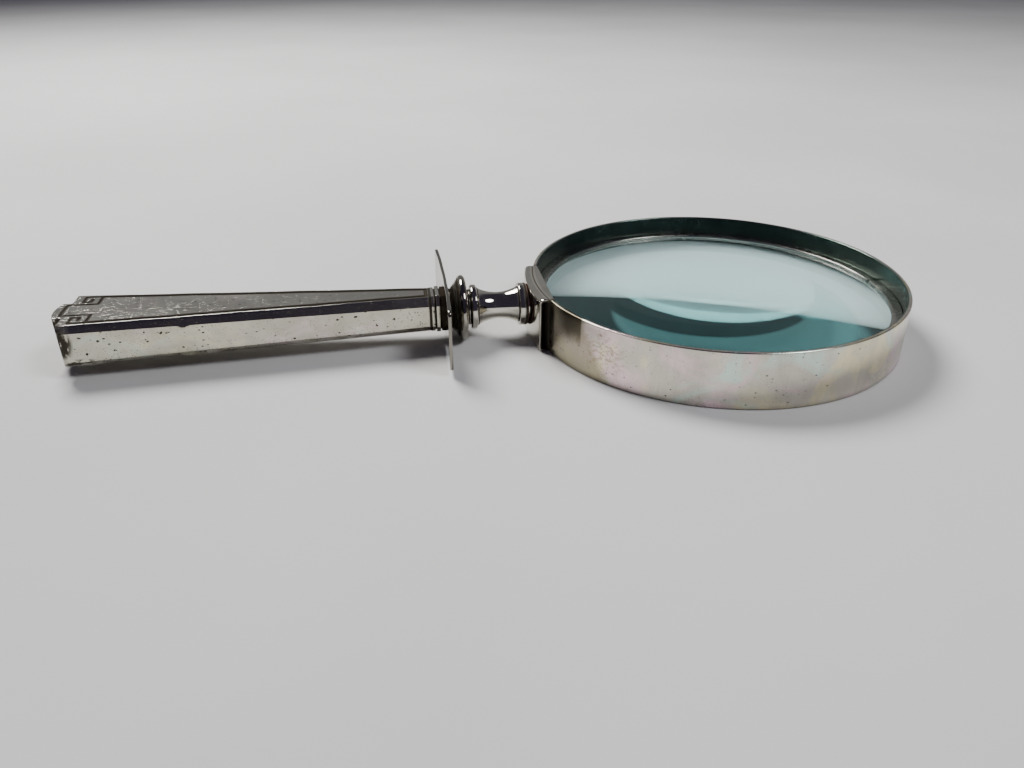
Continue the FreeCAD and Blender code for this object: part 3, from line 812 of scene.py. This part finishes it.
def handle_section(s):
    """Outer path of a row from one seam over the top to the other, as (y, z)."""
    w, d, b = (float(v) for v in handle_sizes(s))
    e = w - b
    past = s - (BACK - CORNER)
    if past > 0:
        w = w - CORNER + math.sqrt(max(CORNER ** 2 - past ** 2, 0))
    end = max(0.0, s - (BACK - BUTT_EDGE)) / BUTT_EDGE
    drop = BUTT_EDGE * (1 - math.sqrt(max(0.0, 1 - end ** 2)))
    w -= drop
    b = w - e
    wall = d - b
    flank_z = np.linspace(0, 1, 9)[1:] * max(wall - 0.25, 0.1)
    left = [(-w, 0.0), (-w, 0.03)] + [(-w, z) for z in flank_z]
    bend = min(0.3, 0.45 * b)
    bevel = soften([(-w, wall - bend * 1.2), (-w, wall, bend), (-e, d, bend), (-e + 0.12, d)],
                   6, closed=False)
    left += [tuple(v) for v in bevel[1:-1]]
    even = 1.7  # up to here the columns keep their distance from the edge
    y = np.where(INSET <= even, e - INSET, (e - even) * (MIDDLE - INSET) / (MIDDLE - even))
    half_path = left + [(-v, d) for v in y]
    path = np.array(half_path + [(-v[0], v[1]) for v in half_path[:-1]][::-1])
    if drop:
        lowered = np.clip((np.abs(path[:, 0]) - CREST_HALF) / 0.3, 0, 1) * drop
        path[:, 1] = np.where(path[:, 1] > 0.1, path[:, 1] - lowered, path[:, 1])
    return path


def line_up(outer, rows):
    """Lead the two columns that lie nearest the crest's sides onto them at the butt."""
    first = int(np.argmin(np.abs(outer[-1][:, 0] + CREST_HALF)))
    second = outer.shape[1] - 1 - first
    weight = np.clip((rows - 171.5) / 3, 0, 1)
    for column, target in ((first, -CREST_HALF), (second, CREST_HALF)):
        outer[:, column, 0] += (target - outer[-1][column, 0]) * weight
        outer[:, column, 1] = handle_sizes(rows)[1]
    return first, second


class Shell:
    """Points with their dirt, and faces, of one half of the handle."""

    def __init__(self, sign):
        self.sign, self.points, self.dirt, self.faces = sign, [], [], []

    def add(self, station, y, z, dirt=0.0):
        """Take a block of points, z away from the seam; give their numbers in the same shape."""
        block = np.stack(np.broadcast_arrays(station, y, z, dirt), -1)
        start = len(self.points)
        for s, a, b, g in block.reshape(-1, 4):
            self.points.append((LENS_X - s, a, AXIS_Z + self.sign * b))
            self.dirt.append(g)
        return start + np.arange(block[..., 0].size).reshape(block.shape[:-1])

    def sheet(self, grid):
        """Quads between the rows and columns of a block."""
        for upper, under in zip(grid, grid[1:]):
            for j in range(len(upper) - 1):
                self.faces.append((upper[j], upper[j + 1], under[j + 1], under[j]))

    def face(self, *runs):
        """One face round the points of several runs."""
        self.faces.append(tuple(number for run in runs for number in run))

    def merged(self):
        """Points, faces and dirt with equal points made one."""
        keys = {}
        number = [keys.setdefault(tuple(round(v, 4) for v in point), len(keys))
                  for point in self.points]
        points, dirt = [None] * len(keys), [0.0] * len(keys)
        for index, point, value in zip(number, self.points, self.dirt):
            points[index] = point
            dirt[index] = max(dirt[index], value)
        faces = []
        for face in self.faces:
            loop = [number[v] for v in face]
            loop = [v for k, v in enumerate(loop) if v != loop[k - 1]]
            if len(set(loop)) >= 3:
                faces.append(tuple(loop))
        return points, faces, np.array(dirt)


def outer_face(shell, rows, outer):
    """Engraved, uneven, and on the upper half dented."""
    station = np.repeat(rows[:, None], outer.shape[1], axis=1)
    y, z = outer[:, :, 0], outer[:, :, 1]
    w, d, b = handle_sizes(station)
    on_top = z > d - 0.03
    inside = np.clip((station - FRONT) / 6, 0, 1) * np.clip((BACK - 1 - station) / 4, 0, 1)
    wavy = (0.030 * np.sin(station * 0.21 + y * 0.25 + shell.sign)
            + 0.018 * np.sin(station * 0.47 - y * 0.5))
    height = z - groove(station, y) * on_top * GROOVE_DEPTH + wavy * inside * on_top
    flank = np.clip(np.abs(y) - (w - b), 0, 1) * np.clip(z, 0, 1)
    wavy = 0.03 * np.sin(station * 0.17 + z * 0.5 + 1.3) + 0.015 * np.sin(station * 0.61 + z)
    side = y + np.sign(y) * inside * flank * wavy
    if shell.sign > 0:
        dent = np.exp(-((station - DENT) / 1.2) ** 2 - ((z - (d - b) - 0.1) / 0.45) ** 2) * (y < 0)
        side = side + 0.2 * dent
        height = height - 0.12 * dent
    at_ferrule = 0.8 * np.exp(-((station - FRONT) / 0.35) ** 2)
    dirt = np.maximum(groove(station, y, DIRT_WIDTH, DIRT_CORE) * on_top, at_ferrule)
    grid = shell.add(station, side, height, dirt)
    shell.sheet(grid)
    return grid


def hollow(shell, rows, outer, grid):
    """Inner face as far as the solid end, and the edges between it and the outer face."""
    inner = []
    for s, path in zip(rows, outer):
        w, d, b = handle_sizes(s)
        b2 = b - SHELL * (2 - math.sqrt(2))
        w2, d2 = w - SHELL, d - SHELL
        a = np.clip(path[:, 0], -w2, w2)
        top = np.minimum(d2, d2 - b2 + w2 - np.abs(a))
        c = np.minimum(path[:, 1], np.where(np.abs(path[:, 0]) >= w - 1e-6, d2 - b2, top))
        c[[0, -1]] = 0
        c[[1, -2]] = 0.03
        a[[0, -1]] = -w2, w2
        inner.append(np.stack([a, np.where(path[:, 1] > d - b + 1e-6, top, c)], 1))
    inner = np.array(inner)
    within = shell.add(rows[:, None], inner[:, :, 0], inner[:, :, 1])
    shell.sheet(within.T)
    for j in (0, -1):
        shell.sheet(np.stack([grid[:len(rows), j], within[:, j]]))
    shell.sheet(np.stack([grid[0], within[0]]))
    shell.face(within[-1])
    return within


def crest(shell, across):
    """Raised tongue at the butt, from the face's columns between the steps."""
    depth = float(handle_sizes(BACK)[1])
    rounding = 0.3
    shares = np.concatenate([np.linspace(0, 0.12, 4)[:-1], np.arange(0.12, 0.9, 0.045),
                             [0.9, 0.93, 0.955, 0.975, 0.99, 1.0]])
    side_z = np.linspace(0, 1, 7) * (depth - rounding - 0.02)
    quarter = np.linspace(0, 1, 5) * math.pi / 2
    lines = []
    for v in shares:
        soft = rounding * min(1.0, v / 0.12)
        left = [(-CREST_HALF, z) for z in side_z]
        left += [(-CREST_HALF + soft * (1 - math.cos(t)), depth - soft * (1 - math.sin(t)))
                 for t in quarter]
        middle = [(float(np.clip(a, -CREST_HALF + soft, CREST_HALF - soft)), depth) for a in across]
        lines.append(left + middle + [(-a, b) for a, b in left][::-1])
    lines = np.array(lines)
    y, z = lines[:, :, 0], lines[:, :, 1]
    reach = SHOULDER + (TIP - SHOULDER) * (1 - (y / CREST_HALF) ** 2)
    s = BACK + shares[:, None] * (reach - BACK)
    round_end = np.clip((s - (reach - rounding)) / rounding, 0, 1)
    fall = rounding * (1 - np.sqrt(1 - round_end ** 2))
    on_top = z > depth - 0.02
    height = np.minimum(z, depth - fall) - groove(s, y) * on_top * GROOVE_DEPTH * (round_end < 1)
    grid = shell.add(s, y, height, groove(s, y, DIRT_WIDTH, DIRT_CORE) * on_top)
    shell.sheet(grid)
    sides = len(side_z)
    front = slice(sides, len(across) + 2 * len(quarter) + sides)
    levels = [grid[-1, front]]
    levels += [shell.add(s[-1, front], y[-1, front], low) for low in side_z[::-1]]
    shell.sheet(levels)
    return grid, levels[-1], sides + len(quarter)


def handle_half(name, node, sign):
    """Upper (sign 1) or lower (-1) half of the hollow handle."""
    rows = handle_rows(sign > 0)
    outer = np.array([handle_section(s) for s in rows])
    first, second = line_up(outer, rows)
    shell = Shell(sign)
    grid = outer_face(shell, rows, outer)
    solid_from = int(np.argmin(np.abs(rows - SOLID_FROM)))
    within = hollow(shell, rows[:solid_from + 1], outer, grid)
    crown, foot, lead = crest(shell, outer[-1][first + 1:second, 0])
    # The two shoulders' end walls, then the seam plane of the solid end
    shell.face(grid[-1, :first + 1], crown[0, :lead][::-1])
    shell.face(grid[-1, second:], crown[0, -lead:][::-1])
    shell.face(grid[solid_from:, 0], crown[:, 0], foot, crown[::-1, -1], grid[solid_from:, -1][::-1],
               within[-1, [-1, 0]])
    points, faces, dirt = shell.merged()
    return piece(name, node, points, faces, dirt, angle=28)


bezel_band()
round_lens()
spring_ring("seat_ring", "lens_seat_ring", 0)
spring_ring("split_ring", "lens_retaining_ring", 1.5)
mount_bar()
bar_pad()
drum("fibre_washer", "neck_washer", 5.75, 0.08, 0.08)
drum("collar_drum", "neck_collar", 5.9, 0.22, 0.35, gap=0.02)
waisted_stem()
drum("thin_flange", "neck_flange", 6.15, 0.55, 0.55, steps=8)
small_bead()
moulded_knop()
guard_plate()
bolster()
handle_half("handle_upper", "handle_shell_top", 1)
handle_half("handle_lower", "handle_shell_bottom", -1)


# ------------------------------------------------------------------ setting and light

def floor():
    mesh = bpy.data.meshes.new("table")
    edge = 1.6
    mesh.from_pydata([(-edge, -edge, 0), (edge, -edge, 0), (edge, edge, 0), (-edge, edge, 0)], [],
                     [(0, 1, 2, 3)])
    p = Paint("pale cloth")
    soft = p.noise(p.scaled((1, 1, 1)), 0.006, 3, 0.5)
    p.set(Base_Color=p.mix(p.fit(soft, 0.3, 0.7), (0.66, 0.655, 0.65, 1), (0.72, 0.715, 0.71, 1)),
          Roughness=0.95, Specular_IOR_Level=0.1)
    mesh.materials.append(p.material)
    table = bpy.data.objects.new("table", mesh)
    bpy.context.scene.collection.objects.link(table)


def area(name, at, aim, size, watts, colour):
    light = bpy.data.lights.new(name, "AREA")
    light.shape = "DISK"
    light.size = size
    light.energy = watts
    light.color = colour
    lamp = bpy.data.objects.new(name, light)
    lamp.location = at
    lamp.rotation_euler = (Vector(aim) - Vector(at)).to_track_quat("-Z", "Y").to_euler()
    bpy.context.scene.collection.objects.link(lamp)
    return lamp


def room():
    """Grey low down behind the piece, dark and faintly purple overhead."""
    world = bpy.data.worlds.new("room")
    world.use_nodes = True
    bpy.context.scene.world = world
    tree = world.node_tree
    tree.nodes.clear()

    def add(kind, **settings):
        node = tree.nodes.new(kind)
        for key, value in settings.items():
            setattr(node, key, value)
        return node

    def ramp(value, *limits):
        """Smooth step, with limits (from, to, value at from, value at to)."""
        made = add("ShaderNodeMapRange", interpolation_type="SMOOTHSTEP")
        for k, limit in enumerate(limits, start=1):
            made.inputs[k].default_value = limit
        tree.links.new(value, made.inputs[0])
        return made.outputs[0]

    place = add("ShaderNodeTexCoord")
    split = add("ShaderNodeSeparateXYZ")
    tree.links.new(place.outputs["Generated"], split.inputs[0])
    both = add("ShaderNodeMath", operation="MULTIPLY")
    tree.links.new(ramp(split.outputs[1], 0.05, 0.55, 0.0, 1.0), both.inputs[0])
    tree.links.new(ramp(split.outputs[2], 0.50, 0.78, 1.0, 0.0), both.inputs[1])
    mix = add("ShaderNodeMix", data_type="RGBA")
    mix.inputs[6].default_value = (0.042, 0.036, 0.060, 1)
    mix.inputs[7].default_value = (0.27, 0.27, 0.275, 1)
    tree.links.new(both.outputs[0], mix.inputs[0])
    glow = add("ShaderNodeBackground")
    tree.links.new(mix.outputs[2], glow.inputs[0])
    out = add("ShaderNodeOutputWorld")
    tree.links.new(glow.outputs[0], out.inputs[0])


floor()
room()
area("key", (-0.30, 0.55, 0.75), (0, 0, 0), 0.45, 14, (1.0, 0.985, 0.96))
area("fill", (0.55, -0.35, 0.80), (0.05, 0, 0), 0.35, 5, (0.97, 0.98, 1.0))


def view():
    """Camera where the photograph was taken from."""
    optics = bpy.data.cameras.new("camera")
    optics.lens = 29.11
    optics.sensor_width = 36
    camera = bpy.data.objects.new("camera", optics)
    camera.location = (-0.0277, -0.2111, 0.1007)
    camera.rotation_euler = (math.radians(61.25), 0, math.radians(-8.65))
    bpy.context.scene.collection.objects.link(camera)
    bpy.context.scene.camera = camera


view()
